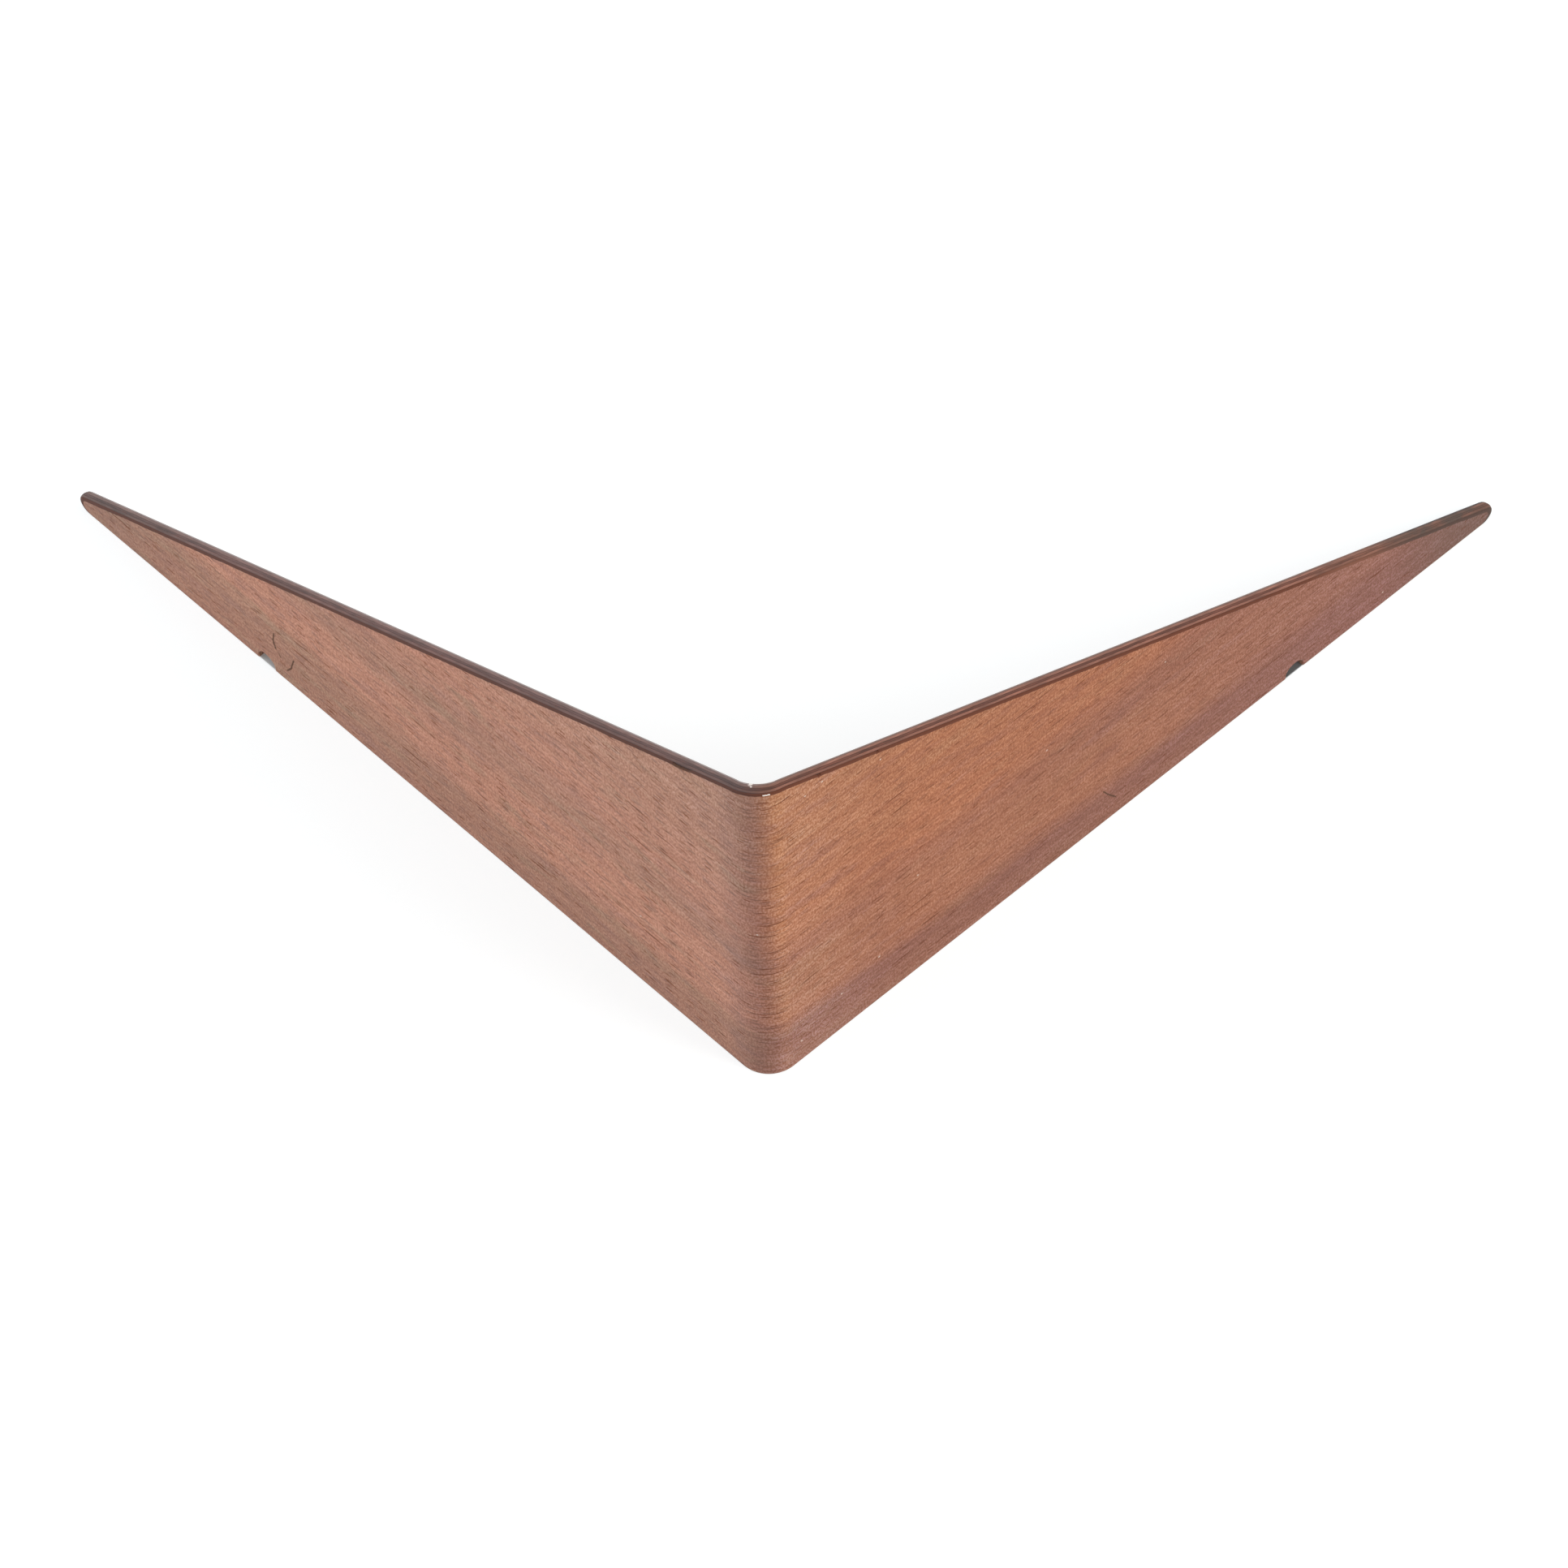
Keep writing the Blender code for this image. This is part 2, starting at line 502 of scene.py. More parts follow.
# %% [markdown]
# Wood grain is one idea at several sizes: broad streaks, fibres, short open pores and a few long ones.
# All of them are long with the grain and thin across it, so each is a round pattern on stretched
# coordinates. Noise gives the soft ones. Voronoi cells give the pores, since a cell has one middle, and a
# random number that decides whether a pore grows there. The group takes a place in metres, with the grain
# along X, and gives out the masks.

# %% The grain group
def stretched(tree, axes, length, width, seed):
    """The place in units that are long with the grain and narrow across it."""
    along = work(tree, "DIVIDE", axes[0], length)
    across = work(tree, "DIVIDE", axes[1], width)
    return vector(tree, work(tree, "ADD", along, seed), across, seed)


def grow_pores(tree, place, share, reach):
    """Dashes in this share of the cells, each as long as the reach allows, with soft ends."""
    cells = add(tree, "TexVoronoi", {"Vector": place, "Scale": 1.0}, voronoi_dimensions="2D")
    chance = add(tree, "SeparateColor", {0: cells.outputs["Color"]}).outputs
    picked = work(tree, "LESS_THAN", chance[0], share)
    size = work(tree, "MULTIPLY", fade(tree, chance[1], 0.0, 1.0, 0.55, 1.0), reach)
    inside = fade(tree, work(tree, "DIVIDE", cells.outputs["Distance"], size), 1.0, 0.6)
    return work(tree, "MULTIPLY", picked, inside)


def make_grain():
    """Sizes in here are in fibre lengths along the grain and fibre widths across it."""
    inputs = {"Place": "Vector", "Seed": "Float", "Width": "Float", "Length": "Float"}
    outputs = {"Streaks": "Float", "Fibres": "Float", "Pores": "Float", "Long Pores": "Float"}
    tree, given, made = new_group("wood_grain", inputs, outputs)
    flat = add(tree, "SeparateXYZ", {0: given["Place"]}).outputs
    seed, width, length = given["Seed"], given["Width"], given["Length"]
    drift = work(tree, "SUBTRACT", cloud(tree, vector(tree, flat["X"], flat["Y"], seed), 9.0), 0.5)
    swayed = work(tree, "MULTIPLY_ADD", drift, work(tree, "MULTIPLY", width, 5.0), flat["Y"])
    axes = (work(tree, "DIVIDE", flat["X"], length), work(tree, "DIVIDE", swayed, width))
    streaks = cloud(tree, stretched(tree, axes, 5.0, 3.2, seed), 1.0, 4.0, 0.62)
    fibres = cloud(tree, stretched(tree, axes, 1.00, 1.20, seed), 1.0, 3.0, 0.60)
    bundles = cloud(tree, stretched(tree, axes, 3.0, 2.5, seed), 1.0, 1.0)
    share = fade(tree, bundles, 0.35, 0.68, 0.12, 0.75)
    pores = grow_pores(tree, stretched(tree, axes, 1.00, 1.50, seed), share, 0.21)
    share = fade(tree, bundles, 0.40, 0.72, 0.06, 0.50)
    long_pores = grow_pores(tree, stretched(tree, axes, 5.0, 2.60, seed), share, 0.13)
    tree.links.new(streaks, made["Streaks"])
    tree.links.new(fibres, made["Fibres"])
    tree.links.new(pores, made["Pores"])
    tree.links.new(long_pores, made["Long Pores"])
    return tree


grain = make_grain()
print("grain group:", len(grain.nodes), "nodes")

# %% [markdown]
# The edges were stained dark by hand after the wood was finished, so the stain runs a little over the
# arris onto the face, with a ragged line. The group turns the rim distance into that mask. On the inner
# face the same mask carries a painted sheen instead.

# %% The stain group
def make_stain():
    inputs = {"Rim": "Float", "Place": "Vector", "Reach": "Float", "Ragged": "Float"}
    tree, given, made = new_group("edge_stain", inputs, {"Stain": "Float"})
    teeth = cloud(tree, given["Place"], 900.0, 3.0, 0.65)
    slow = cloud(tree, given["Place"], 70.0, 1.0)
    both = work(tree, "ADD", work(tree, "SUBTRACT", teeth, 0.5), work(tree, "SUBTRACT", slow, 0.5))
    ragged = work(tree, "MULTIPLY_ADD", both, given["Ragged"], given["Rim"])
    over = work(tree, "DIVIDE", ragged, given["Reach"])
    tree.links.new(fade(tree, over, 1.25, 0.75), made["Stain"])
    return tree


stain = make_stain()
print("stain group:", len(stain.nodes), "nodes")

# %% [markdown]
# Scratches, specks of dust and the pale glints at the nose are marks at places of their own. The glints
# are painted highlights. One group draws a mark as a short thick line: it finds the nearest point of the
# line between two places, and fades with the distance from it. A line whose ends are the same is a dot. A
# little noise keeps the outline from looking drawn.

# %% The mark group
def reckon(tree, operation, first, second):
    return add(tree, "VectorMath", {0: first, 1: second}, operation=operation).outputs


def make_mark():
    inputs = {"Place": "Vector", "Start": "Vector", "End": "Vector", "Width": "Float"}
    tree, given, made = new_group("mark", inputs, {"Mark": "Float"})
    span = reckon(tree, "SUBTRACT", given["End"], given["Start"])[0]
    gone = reckon(tree, "SUBTRACT", given["Place"], given["Start"])[0]
    covered = reckon(tree, "DOT_PRODUCT", gone, span)["Value"]
    whole = reckon(tree, "DOT_PRODUCT", span, span)["Value"]
    share = add(tree, "Math", {0: covered, 1: whole}, operation="DIVIDE", use_clamp=True).outputs[0]
    nearest = reckon(tree, "SCALE", span, (0, 0, 0))[0]
    tree.links.new(share, nearest.node.inputs["Scale"])
    gap = reckon(tree, "DISTANCE", gone, nearest)["Value"]
    uneven = fade(tree, cloud(tree, given["Place"], 1500.0, 2.0), 0.3, 0.7, 0.6, 1.5)
    width = work(tree, "MULTIPLY", given["Width"], uneven)
    tree.links.new(fade(tree, work(tree, "DIVIDE", gap, width), 1.0, 0.45), made["Mark"])
    return tree


mark = make_mark()


def draw_marks(tree, place, lines):
    """One mask for many marks, each given by its start, its end and its half width in metres."""
    mask = 0.0
    for start, end, width in lines:
        feeds = {"Place": place, "Start": (*start, 0), "End": (*end, 0), "Width": width}
        mask = work(tree, "MAXIMUM", mask, fill_group(tree, mark, feeds).outputs[0])
    return mask


print("mark group:", len(mark.nodes), "nodes")

# %% [markdown]
# The teak leaf. Its bands run with the base: dull brown along the foot, paler above, one more dull band,
# and clear orange brown to the crown. A colour ramp over the height holds them, with its height shaken by
# a slow noise so that no band is ruled. The left wing's ramp is paler and pinker, a painted sheen for the
# gloss and cooler light on that side, so each wing has a ramp of its own.

# %% The colours of the leaf
RIGHT_BANDS = (
    (0.00, (0.276, 0.109, 0.066)),
    (0.13, (0.240, 0.088, 0.056)),
    (0.21, (0.340, 0.126, 0.061)),
    (0.32, (0.336, 0.125, 0.059)),
    (0.39, (0.310, 0.110, 0.054)),
    (0.52, (0.362, 0.124, 0.050)),
    (1.00, (0.354, 0.133, 0.054)),
)
# Paler and pinker than the right: a painted sheen on the left wing
SHEENED_LEFT_BANDS = (
    (0.00, (0.342, 0.125, 0.060)),
    (0.13, (0.339, 0.138, 0.067)),
    (0.21, (0.458, 0.177, 0.093)),
    (0.32, (0.458, 0.177, 0.093)),
    (0.39, (0.363, 0.149, 0.079)),
    (0.52, (0.452, 0.174, 0.093)),
    (1.00, (0.396, 0.184, 0.105)),
)
OLIVE = (0.285, 0.165, 0.085)
PLUM = (0.235, 0.090, 0.068)
PORE = (0.130, 0.030, 0.008)
DUSKY = (0.90, 0.89, 0.94)

# Where they lie, in metres of the leaf
BAND_SWAY = 0.040
SWAY_SIZE = (0.200, 0.040)
PATCH_SIZE = (0.030, 0.008)
WING_CHANGE = 0.005
PLUM_ALONG = (0.12, 0.25)
PLUM_HEIGHT = (0.012, 0.032)
DUSK_ALONG = (0.140, 0.060)
DUSK_HEIGHT = (0.056, 0.020)

# How strong they are, on the left and the right wing, or on both
OLIVE_WEIGHT = (0.45, 0.15)
PATCH_PLUM = 0.35
PLUM_ABOVE = 0.72

# Tints multiply the colour. A place along the leaf is a middle and a reach, a start and an end,
# or a rise and a fall with a start and an end each
SUNNY = ((1.06, 1.06, 1.05), 0.060, 0.038)
# Painted shade along the middle of the nose, and a painted highlight just right of it
NOSE_LINE_SHADE = ((0.93, 0.92, 0.98), -0.0016, 0.0034)
NOSE_LINE_HIGHLIGHT = ((1.08, 1.11, 1.07), 0.0060, 0.0028)
LEFT_TIP = ((0.81, 0.86, 0.88), -0.235, -0.280)
RIGHT_TIP = ((0.68, 0.84, 0.82), 0.235, 0.280)
# Painted shade over the nose, and a painted sheen from the nose along the right wing
NOSE_SHADE = ((0.82, 0.77, 0.775), (-0.017, -0.007), (0.0045, 0.0012))
NOSE_SHEEN = ((1.20, 1.38, 1.62), (-0.004, 0.005), (0.048, 0.008))


def colour(shade):
    return (*shade, 1.0)


def ramp_of(tree, share, bands):
    ramp = add(tree, "ValToRGB", {0: share})
    stops = ramp.color_ramp.elements
    while len(stops) < len(bands):
        stops.new(0.5)
    for stop, (position, shade) in zip(stops, bands):
        stop.position = position
        stop.color = colour(shade)
    return ramp.outputs["Color"]


def by_wing(tree, axes, left, right):
    """A number that is one thing on the left wing and another on the right, and changes over the bend."""
    return fade(tree, axes[0], -WING_CHANGE, WING_CHANGE, left, right)


def around(tree, value, middle, reach):
    """1 where a value is at the middle, falling softly to 0 at the reach on both sides."""
    return fade(tree, work(tree, "ABSOLUTE", work(tree, "SUBTRACT", value, middle)), reach, 0.0)


def tinted(tree, tone, mask, tint):
    """A tone times a tint, as far as the mask goes."""
    return dim(tree, tone, layer(tree, mask, colour((1, 1, 1)), colour(tint)))


def between(tree, value, rise, fall):
    """1 between a rise and a fall, each given by the values where it starts and ends."""
    return work(tree, "MULTIPLY", fade(tree, value, *rise), fade(tree, value, *fall))


def tint_around(tree, tone, axes, spot):
    tint, middle, reach = spot
    return tinted(tree, tone, around(tree, axes[0], middle, reach), tint)


def tint_past(tree, tone, axes, spot):
    tint, start, stop = spot
    return tinted(tree, tone, fade(tree, axes[0], start, stop), tint)


def tint_between(tree, tone, axes, spot):
    tint, rise, fall = spot
    return tinted(tree, tone, between(tree, axes[0], rise, fall), tint)


def leaf_tone(tree, axes, seed):
    """Colour before grain: bands, patches, darker tips, and painted sheen, shade and highlights."""
    slow = cloud(tree, stretched(tree, axes, *SWAY_SIZE, seed), 1.0, 3.0, 0.55)
    shaken = work(tree, "MULTIPLY_ADD", work(tree, "SUBTRACT", slow, 0.5), BAND_SWAY, axes[1])
    share = work(tree, "DIVIDE", shaken, cad_high.z)
    right = by_wing(tree, axes, 0.0, 1.0)
    tone = layer(tree, right, ramp_of(tree, share, SHEENED_LEFT_BANDS), ramp_of(tree, share, RIGHT_BANDS))
    patches = cloud(tree, stretched(tree, axes, *PATCH_SIZE, seed), 1.0, 3.0, 0.6)
    olive = fade(tree, patches, 0.50, 0.72, 0.0, by_wing(tree, axes, *OLIVE_WEIGHT))
    tone = layer(tree, olive, tone, colour(OLIVE))
    tone = layer(tree, fade(tree, patches, 0.50, 0.28, 0.0, PATCH_PLUM), tone, colour(PLUM))
    low = fade(tree, shaken, *PLUM_HEIGHT, 1.0, PLUM_ABOVE)
    plum = work(tree, "MULTIPLY", fade(tree, axes[0], *PLUM_ALONG), low)
    tone = layer(tree, plum, tone, colour(PLUM))
    dusk = work(tree, "MULTIPLY", around(tree, axes[0], *DUSK_ALONG), around(tree, shaken, *DUSK_HEIGHT))
    tone = tinted(tree, tone, dusk, DUSKY)
    tone = tint_around(tree, tone, axes, SUNNY)
    tone = tint_past(tree, tone, axes, LEFT_TIP)
    tone = tint_past(tree, tone, axes, RIGHT_TIP)
    # Painted shade over the nose, painted sheen and highlight right of it
    tone = tint_between(tree, tone, axes, NOSE_SHADE)
    tone = tint_between(tree, tone, axes, NOSE_SHEEN)
    tone = tint_around(tree, tone, axes, NOSE_LINE_SHADE)
    return tint_around(tree, tone, axes, NOSE_LINE_HIGHLIGHT)


print("bands in the leaf:", len(RIGHT_BANDS))

# %% [markdown]
# Over the tone go streaks, fibres, flecks, hairlines and pores, then the stain along the rim, and last
# the marks of use and the pale glints, which are painted highlights. On the inner face the band along the
# rim is a painted sheen, not stain. The lacquer is glossier on the left wing and duller on the right.
# Bending has opened fine checks along the grain over the nose. Pores are dents as well as dark dashes, so
# they also drive the bump.

# %% The teak veneer
SCRATCHES = (
    ((-0.2002, 0.0225), (-0.2010, 0.0182), 0.00036),
    ((-0.2011, 0.0182), (-0.2004, 0.0142), 0.00050),
    ((-0.1926, 0.0156), (-0.1944, 0.0096), 0.00036),
    ((-0.1944, 0.0096), (-0.1963, 0.0067), 0.00034),
    ((-0.1992, 0.0126), (-0.1986, 0.0112), 0.00028),
    ((-0.0292, 0.1379), (-0.0236, 0.1413), 0.00080),
    ((0.1281, 0.0177), (0.1303, 0.0136), 0.00026),
    ((0.1303, 0.0136), (0.1332, 0.0095), 0.00034),
)
SPECKS = (
    (-0.0014, 0.0776), (0.0409, 0.0236), (0.0266, 0.0194), (0.0112, 0.0107),
    (0.0557, 0.0516), (-0.0472, 0.0376), (0.0153, 0.1372), (0.1509, 0.0627),
    (0.2417, 0.0065), (0.1050, 0.0647), (0.0215, 0.1379), (0.0425, 0.1267),
)
SPECK_SIZE = 0.00038
# Painted highlights: pale glints on the arrises at the nose, one on each face veneer
PAINTED_GLINTS = {"outer_teak": (((0.0019, 0.1496), (0.0037, 0.1494), 0.00020),),
          "inner_teak": (((-0.0026, 0.1497), (-0.0018, 0.1497), 0.00050),)}
SCRATCHED = (0.095, 0.040, 0.020)
DUST = (0.75, 0.66, 0.58)
DUST_WEIGHT = 0.8
# The colour of the painted glints
PAINTED_GLINT = (0.86, 0.80, 0.75)

# The stain along the outer face's rim and a painted sheen along the inner face's rim, on the left and the
# right wing, and where it was rubbed near the right tip
RIM_STAINS_AND_SHEEN = {"outer_teak": ((0.082, 0.028, 0.018), (0.115, 0.030, 0.012)),
          "inner_teak": ((0.340, 0.275, 0.265), (0.270, 0.190, 0.170))}
STAIN_SIZE = {"Reach": 0.00060, "Ragged": 0.0006}
SMEARED = (0.225, 0.093, 0.059)
SMEAR_ALONG = (0.205, 0.225)
SMEAR_WEIGHT = 0.6
RUBBED = ((0.42, 0.62, 0.80), 0.228, 0.256)

# The worn foot of the leaf
FOOT = (0.42, 0.30, 0.24)
FOOT_HEIGHT = (0.0010, 0.0002)
FOOT_WEIGHT = 0.35

# Grain: sizes are along and across it, depths are on the left and the right wing
LEAF_GRAIN = {"Width": 0.0011, "Length": 0.0095}
STREAK_SHADES = (0.14, (0.92, 0.85, 0.77), (1.05, 1.08, 1.12))
FIBRE_SHADES = (0.12, (0.87, 0.78, 0.68), (1.09, 1.15, 1.23))
FLECK_SHADES = (0.10, (0.84, 0.72, 0.56), (1.19, 1.33, 1.51))
FLECK_SIZE = (0.00060, 0.0011)
HAIR_SIZE = (0.0085, 0.00125)
HAIR_SEED = 0.5
HAIR_GROWTH = (0.65, 0.27)
HAIR_DEPTH = (0.72, 0.48)
PORE_DEPTH = (0.66, 0.60)
LONG_PORE_DEPTH = 0.80
CHECK_SIZE = (0.060, 0.0022)
CHECK_GROWTH = (0.6, 0.14)
CHECK_DEPTH = 0.6
CHECK_ALONG = ((-0.016, -0.006), (0.016, 0.006))

# Gloss
LEAF_ROUGH = (0.47, 0.64)
DULL_ROUGH = (0.40, 0.25)
FIBRE_ROUGH = 0.15


def smear(tree, axes):
    """How far the stain is rubbed to one colour, near the right tip."""
    return fade(tree, axes[0], *SMEAR_ALONG, 0.0, SMEAR_WEIGHT)


def shaded(tree, tone, pattern, spread, dark, light):
    """A tone made darker where a pattern is low and lighter where it is high. A small spread is crisp."""
    share = fade(tree, pattern, 0.5 - spread, 0.5 + spread)
    return dim(tree, tone, layer(tree, share, colour(dark), colour(light)))


def sunk(tree, tone, pores, depth):
    """Pores drawn into a tone, as dark as the depth says."""
    return layer(tree, work(tree, "MULTIPLY", pores, depth), tone, colour(PORE))


def uneven_gloss(tree, wood, rough):
    """A roughness that wavers with the fibres."""
    return work(tree, "MULTIPLY_ADD", work(tree, "SUBTRACT", wood["Fibres"], 0.5), FIBRE_ROUGH, rough)


def grained(tree, tone, wood, axes, seed):
    tone = shaded(tree, tone, wood["Streaks"], *STREAK_SHADES)
    tone = shaded(tree, tone, wood["Fibres"], *FIBRE_SHADES)
    flecks = cloud(tree, stretched(tree, axes, *FLECK_SIZE, seed), 1.0, 1.0)
    tone = shaded(tree, tone, flecks, *FLECK_SHADES)
    hairs = grow_pores(tree, stretched(tree, axes, *HAIR_SIZE, seed + HAIR_SEED), *HAIR_GROWTH)
    tone = sunk(tree, tone, hairs, by_wing(tree, axes, *HAIR_DEPTH))
    tone = sunk(tree, tone, wood["Pores"], by_wing(tree, axes, *PORE_DEPTH))
    tone = sunk(tree, tone, wood["Long Pores"], LONG_PORE_DEPTH)
    checks = grow_pores(tree, stretched(tree, axes, *CHECK_SIZE, seed), *CHECK_GROWTH)
    depth = work(tree, "MULTIPLY", between(tree, axes[0], *CHECK_ALONG), CHECK_DEPTH)
    return sunk(tree, tone, checks, depth)


def make_veneer(name, seed):
    material, tree, surface = new_material(name)
    place = add(tree, "UVMap", (), uv_map="leaf").outputs["UV"]
    rim = add(tree, "Attribute", (), attribute_name="rim").outputs["Fac"]
    flat = add(tree, "SeparateXYZ", {0: place}).outputs
    axes = (flat["X"], flat["Y"])
    wood = fill_group(tree, grain, {"Place": place, "Seed": seed, **LEAF_GRAIN}).outputs
    tone = grained(tree, leaf_tone(tree, axes, seed), wood, axes, seed)
    tone = layer(tree, fade(tree, axes[1], *FOOT_HEIGHT, 0.0, FOOT_WEIGHT), tone, colour(FOOT))
    edged = fill_group(tree, stain, {"Rim": rim, "Place": place, **STAIN_SIZE}).outputs[0]
    right = by_wing(tree, axes, 0.0, 1.0)
    # On the inner face these rim colours are a painted sheen along the rounded arris
    left_rim, right_rim = RIM_STAINS_AND_SHEEN[name]
    tip_rim = layer(tree, smear(tree, axes), colour(right_rim), colour(SMEARED))
    tip_rim = tint_past(tree, tip_rim, axes, RUBBED)
    tone = layer(tree, edged, tone, layer(tree, right, colour(left_rim), tip_rim))
    pits = work(tree, "MAXIMUM", wood["Pores"], wood["Long Pores"])
    dull = work(tree, "MAXIMUM", pits, edged)
    if name == "outer_teak":
        scratched = draw_marks(tree, place, SCRATCHES)
        tone = layer(tree, scratched, tone, colour(SCRATCHED))
        dull = work(tree, "MAXIMUM", dull, scratched)
        dots = draw_marks(tree, place, [(speck, speck, SPECK_SIZE) for speck in SPECKS])
        tone = layer(tree, work(tree, "MULTIPLY", dots, DUST_WEIGHT), tone, colour(DUST))
    # A painted highlight: the pale glints at the nose
    tone = layer(tree, draw_marks(tree, place, PAINTED_GLINTS[name]), tone, colour(PAINTED_GLINT))
    tree.links.new(tone, surface.inputs["Base Color"])
    rough = uneven_gloss(tree, wood, by_wing(tree, axes, *LEAF_ROUGH))
    rough = work(tree, "MULTIPLY_ADD", dull, by_wing(tree, axes, *DULL_ROUGH), rough)
    tree.links.new(rough, surface.inputs["Roughness"])
    relief = work(tree, "MULTIPLY_ADD", pits, -1.0, work(tree, "MULTIPLY", wood["Fibres"], 0.6))
    bump = add(tree, "Bump", {"Strength": 0.5, "Distance": 0.00014, "Height": relief})
    tree.links.new(bump.outputs[0], surface.inputs["Normal"])
    return material


outer_teak = make_veneer("outer_teak", 3.0)
inner_teak = make_veneer("inner_teak", 11.0)
print("veneer nodes:", len(outer_teak.node_tree.nodes))

# %% [markdown]
# The plies and the glue only show as stripes along the rim. Each stripe has its own stain depth, with the
# fibres of its ply along it, and the foot of the wall is left paler because nobody stains what stands on
# the table. Towards the inner face the edge turns paler and greyer, more on the left wing, a painted
# sheen. The edge is darker at the left tip and round the nose, and near the right tip it is rubbed and grimy.

# %% The ply edges and the glue lines
GRIME = (0.062, 0.050, 0.042)
GRIME_ALONG = (0.228, 0.262)
GRIME_WEIGHT = 0.8
GRIME_SIZE = (0.007, 0.004)
# A painted sheen: paler and greyer towards the inner face, more on the left wing
INNER_SHEEN = (0.42, 0.29, 0.26)
INNER_SHEEN_DEPTH = (0.0018, 0.0034)
INNER_SHEEN_WEIGHT = (0.34, 0.21)
LEFT_END = ((0.72, 0.82, 0.82), -0.215, -0.275)
NOSE = ((0.74, 0.78, 0.78), -0.010, 0.030)
# A painted highlight on the inner ply edges near the nose
PAINTED_EDGE_GLINTS = (((-0.0030, 0.0034), (-0.0018, 0.0027), 0.00045),)
PAINTED_EDGE_GLINT = (0.60, 0.52, 0.50)
EDGE_GRAIN = {"Width": 0.0004, "Length": 0.0060}
EDGE_PATCH_SIZE = (0.012, 0.003)
EDGE_PORE_DEPTH = 0.5
EDGE_ROUGH = (0.58, 0.74)
RAW_BELOW = (0.004, 0.010)


def make_edge(name, seed, left, right, raw):
    """A stripe of the rim: its stain on the left and the right wing, and its raw colour at the foot."""
    material, tree, surface = new_material(name)
    place = add(tree, "UVMap", (), uv_map="edge").outputs["UV"]
    rim = add(tree, "Attribute", (), attribute_name="rim").outputs["Fac"]
    flat = add(tree, "SeparateXYZ", {0: place}).outputs
    axes = (flat["X"], flat["Y"])
    wood = fill_group(tree, grain, {"Place": place, "Seed": seed, **EDGE_GRAIN}).outputs
    uneven = cloud(tree, stretched(tree, axes, *EDGE_PATCH_SIZE, seed), 1.0, 3.0, 0.6)
    tone = layer(tree, by_wing(tree, axes, 0.0, 1.0), colour(left), colour(right))
    tone = layer(tree, smear(tree, axes), tone, colour(SMEARED))
    tone = tint_past(tree, tone, axes, LEFT_END)
    tone = tint_around(tree, tone, axes, NOSE)
    tone = dim(tree, tone, fade(tree, uneven, 0.30, 0.70, 0.72, 1.25))
    # Painted sheen towards the inner face
    inner_sheen = fade(tree, axes[1], *INNER_SHEEN_DEPTH, 0.0, by_wing(tree, axes, *INNER_SHEEN_WEIGHT))
    tone = layer(tree, inner_sheen, tone, colour(INNER_SHEEN))
    tone = layer(tree, fade(tree, rim, *RAW_BELOW), tone, colour(raw))
    tone = dim(tree, tone, fade(tree, wood["Fibres"], 0.30, 0.70, 0.70, 1.25))
    tone = sunk(tree, tone, wood["Pores"], EDGE_PORE_DEPTH)
    dirt = cloud(tree, stretched(tree, axes, *GRIME_SIZE, 1.0), 1.0, 2.0)
    spots = fade(tree, dirt, 0.30, 0.60, 0.35, 1.0)
    grimy = work(tree, "MULTIPLY", spots, fade(tree, axes[0], *GRIME_ALONG, 0.0, GRIME_WEIGHT))
    tone = layer(tree, grimy, tone, colour(GRIME))
    # The painted highlight near the nose
    tone = layer(tree, draw_marks(tree, place, PAINTED_EDGE_GLINTS), tone, colour(PAINTED_EDGE_GLINT))
    tree.links.new(tone, surface.inputs["Base Color"])
    rough = uneven_gloss(tree, wood, by_wing(tree, axes, *EDGE_ROUGH))
    tree.links.new(rough, surface.inputs["Roughness"])
    bump = add(tree, "Bump", {"Strength": 0.35, "Distance": 0.00006, "Height": wood["Fibres"]})
    tree.links.new(bump.outputs[0], surface.inputs["Normal"])
    return material


CROSSBAND_COLOURS = ((0.138, 0.067, 0.057), (0.270, 0.113, 0.077), (0.26, 0.13, 0.075))
CORE_COLOURS = ((0.105, 0.048, 0.043), (0.130, 0.044, 0.028), (0.20, 0.095, 0.055))
GLUE_COLOURS = ((0.085, 0.036, 0.030), (0.095, 0.034, 0.022), (0.09, 0.045, 0.028))
crossband_edge = make_edge("crossband_edge", 5.0, *CROSSBAND_COLOURS)
core_edge = make_edge("core_edge", 8.0, *CORE_COLOURS)
glue_edge = make_edge("glue_edge", 2.0, *GLUE_COLOURS)

FINISHES = {
    "outer_face_veneer": (outer_teak, "teak_veneer"),
    "inner_face_veneer": (inner_teak, "teak_veneer"),
    "outer_crossband": (crossband_edge, "crossband"),
    "inner_crossband": (crossband_edge, "crossband"),
    "core_ply": (core_edge, "core"),
}
for name, sheet in sheets.items():
    finish, slot = FINISHES.get(name, (glue_edge, "glue_line"))
    sheet.data.materials.append(finish)
print("finishes:", len(bpy.data.materials))

# %% [markdown]
# The stage is a wide pale floor and a white world. The floor is lit like any other surface, so it takes
# the object's shadow. To the camera and to reflections it is a duller floor that glows, which makes the
# open floor white and its shadows faint. It glows more far away, where the lamps hardly reach. Under the
# wall it doesn't glow, or the notches would shine, and it is darkest on the right.

# %% The floor and the world
FLOOR_SIZE = 8.0
FLOOR = (0.82, 0.82, 0.82)
SEEN_FLOOR = (0.463, 0.500, 0.512)
SHADED_FLOOR = ((0.50, 0.50, 0.50), (0.12, 0.12, 0.12))
SHADE_CHANGE = 0.1
GLOW = 0.632
FAR_GLOW = 0.75
GLOW_CHANGE = (0.6, 1.6)
WORLD_LIGHT = 0.55
UNDER_EDGE = 0.0006
NOTCH_SPAN = 0.008


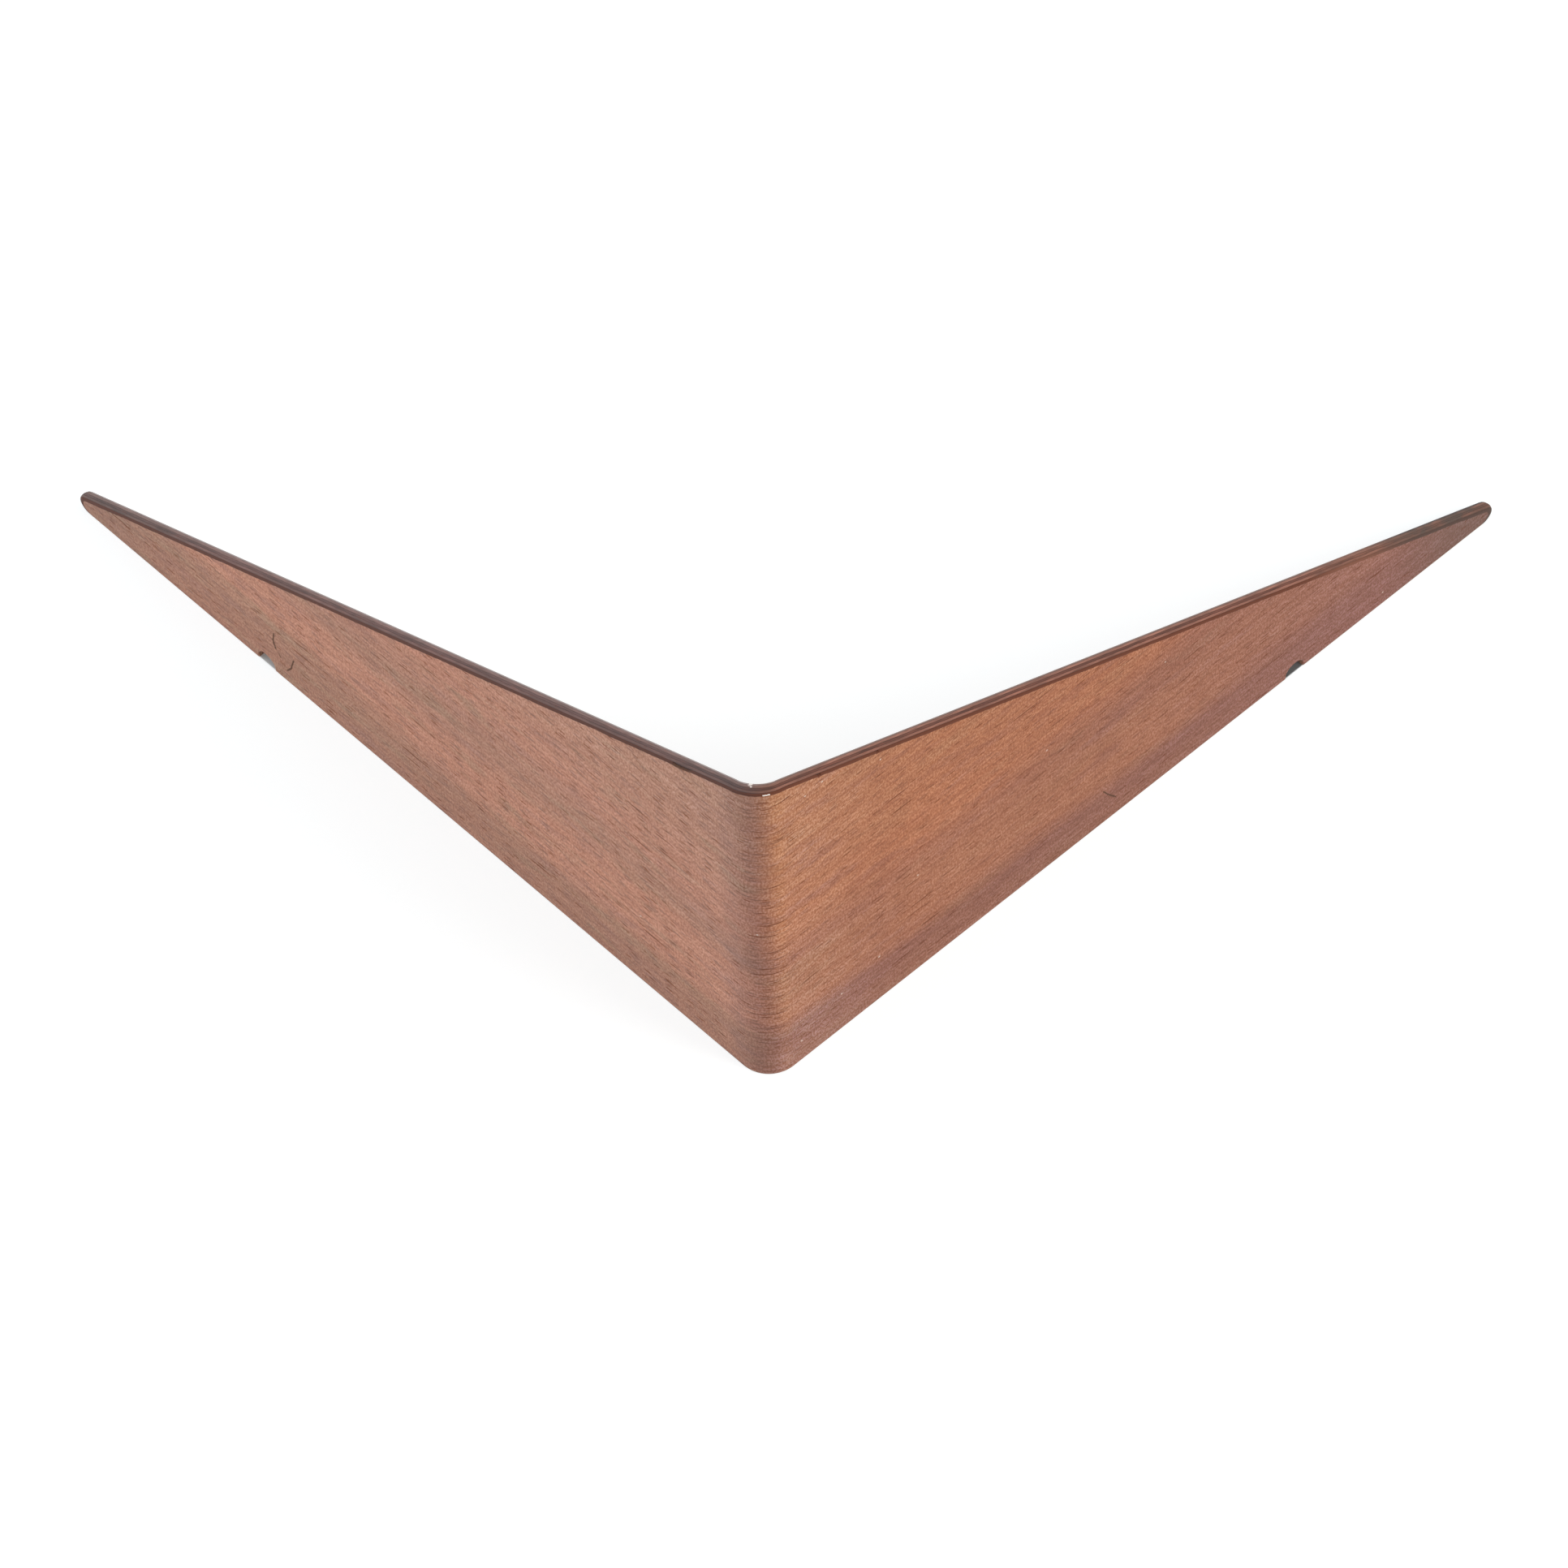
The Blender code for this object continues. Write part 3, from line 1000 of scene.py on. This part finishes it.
def seen_directly(tree):
    """1 for rays from the camera and rays that come by a reflection or through glass."""
    path = add(tree, "LightPath").outputs
    seen = work(tree, "MAXIMUM", path["Is Camera Ray"], path["Is Glossy Ray"])
    return work(tree, "MAXIMUM", seen, path["Is Transmission Ray"])


def open_floor(tree, spot):
    """0 under the wall near the notches, and 1 elsewhere."""
    aside = work(tree, "ABSOLUTE", spot["X"])
    corner_y = bend_middle_y - BEND_RADIUS / math.cos(half_turn)
    behind = work(tree, "MULTIPLY", work(tree, "SUBTRACT", spot["Y"], corner_y), math.cos(half_turn))
    inside = work(tree, "SUBTRACT", behind, work(tree, "MULTIPLY", aside, math.sin(half_turn)))
    off = work(tree, "ABSOLUTE", work(tree, "SUBTRACT", inside, wall / 2))
    clear = fade(tree, off, wall / 2 - UNDER_EDGE, wall / 2)
    notch_x = (WING_LENGTH - NOTCH_FROM_TIP) * math.cos(half_turn)
    far = work(tree, "ABSOLUTE", work(tree, "SUBTRACT", aside, notch_x))
    return work(tree, "MAXIMUM", clear, work(tree, "GREATER_THAN", far, NOTCH_SPAN))


def make_floor():
    bm = bmesh.new()
    bmesh.ops.create_grid(bm, x_segments=1, y_segments=1, size=FLOOR_SIZE / 2)
    mesh = bpy.data.meshes.new("floor")
    bm.to_mesh(mesh)
    bm.free()
    floor = bpy.data.objects.new("floor", mesh)
    bpy.context.scene.collection.objects.link(floor)
    material, tree, surface = new_material("pale_floor")
    surface.inputs["Roughness"].default_value = 1.0
    surface.inputs["Specular IOR Level"].default_value = 0.0
    surface.inputs["Emission Color"].default_value = colour((1, 1, 1))
    place = add(tree, "TexCoord").outputs["Object"]
    spot = add(tree, "SeparateXYZ", {0: place}).outputs
    seen, clear = seen_directly(tree), open_floor(tree, spot)
    shade = layer(tree, seen, colour(FLOOR), colour(SEEN_FLOOR))
    left, right = SHADED_FLOOR
    under = layer(tree, fade(tree, spot["X"], -SHADE_CHANGE, SHADE_CHANGE), colour(left), colour(right))
    tree.links.new(layer(tree, clear, under, shade), surface.inputs["Base Color"])
    away = reckon(tree, "DISTANCE", place, (0, 0, 0))["Value"]
    glow = fade(tree, away, *GLOW_CHANGE, GLOW, FAR_GLOW)
    glow = work(tree, "MULTIPLY", work(tree, "MULTIPLY", seen, clear), glow)
    tree.links.new(glow, surface.inputs["Emission Strength"])
    mesh.materials.append(material)
    floor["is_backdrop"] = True


def make_world():
    world = bpy.data.worlds.new("white_world")
    world.use_nodes = True
    tree = world.node_tree
    strength = fade(tree, seen_directly(tree), 0.0, 1.0, WORLD_LIGHT, 1.0)
    tree.links.new(strength, tree.nodes["Background"].inputs["Strength"])
    tree.nodes["Background"].inputs["Color"].default_value = colour((1, 1, 1))
    bpy.context.scene.world = world


make_floor()
make_world()
print("floor of", FLOOR_SIZE, "m")

# %% [markdown]
# Two large soft lamps stand at the sides, so that each wing is lit and the nose between them falls a
# little darker. The left one is cooler and stands further back, the right one is warmer. A small lamp
# high in front fills the nose from above.

# %% The lamps
AIM = Vector((0, 0, 0.05))


def soft_lamp(name, place, size, power, tint):
    light = bpy.data.lights.new(name, "AREA")
    light.shape = "DISK"
    light.size = size
    light.energy = power
    light.color = tint
    lamp = bpy.data.objects.new(name, light)
    lamp.location = place
    lamp.rotation_euler = (AIM - Vector(place)).to_track_quat("-Z", "Y").to_euler()
    bpy.context.scene.collection.objects.link(lamp)


soft_lamp("left_lamp", (-1.25, 0.35, 0.48), 0.9, 9.5, (0.90, 0.95, 1.0))
soft_lamp("right_lamp", (1.28, -0.46, 0.95), 0.9, 13.5, (1.0, 0.95, 0.88))
soft_lamp("front_lamp", (0.0, -0.55, 1.9), 0.35, 4.0, (1.0, 0.98, 0.95))
print("lamps:", [lamp.name for lamp in bpy.data.lights])

# %% [markdown]
# The camera looks down on the nose from well above, through a long lens, so that the wings hardly taper
# with distance. Its place and its three angles were worked out from the outline of the object in the
# photograph.

# %% The camera
CAMERA_PLACE = Vector((0.05762, -1.00694, 1.60894))
AZIMUTH = math.radians(3.152)
ELEVATION = math.radians(57.940)
ROLL = math.radians(-2.168)
FOCAL_PIXELS = 8000.0
PICTURE_PIXELS = 1932
SENSOR = 36.0


def make_camera():
    lens = bpy.data.cameras.new("portrait")
    lens.sensor_width = SENSOR
    lens.lens = FOCAL_PIXELS / PICTURE_PIXELS * SENSOR
    camera = bpy.data.objects.new("portrait", lens)
    level_ahead = Vector((-math.sin(AZIMUTH), math.cos(AZIMUTH), 0))
    ahead = level_ahead * math.cos(ELEVATION) - UP * math.sin(ELEVATION)
    right = Vector((math.cos(AZIMUTH), math.sin(AZIMUTH), 0))
    up = right.cross(ahead)
    turn = Matrix((right, up, -ahead)).transposed() @ Matrix.Rotation(ROLL, 3, "Z")
    camera.matrix_world = Matrix.Translation(CAMERA_PLACE) @ turn.to_4x4()
    bpy.context.scene.collection.objects.link(camera)
    bpy.context.scene.camera = camera
    return camera


bpy.context.scene.view_settings.view_transform = "Standard"
print("lens:", round(make_camera().data.lens, 2), "mm")

# %% [markdown]
# Last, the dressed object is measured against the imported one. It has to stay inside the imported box.

# %% Compare the boxes and finish
bpy.context.view_layer.update()
low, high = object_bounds()
gaps = [round(gap * 1000, 3) for gap in (low - cad_low)[:] + (high - cad_high)[:]]
print("dressed box minus packed box, mm:", gaps)
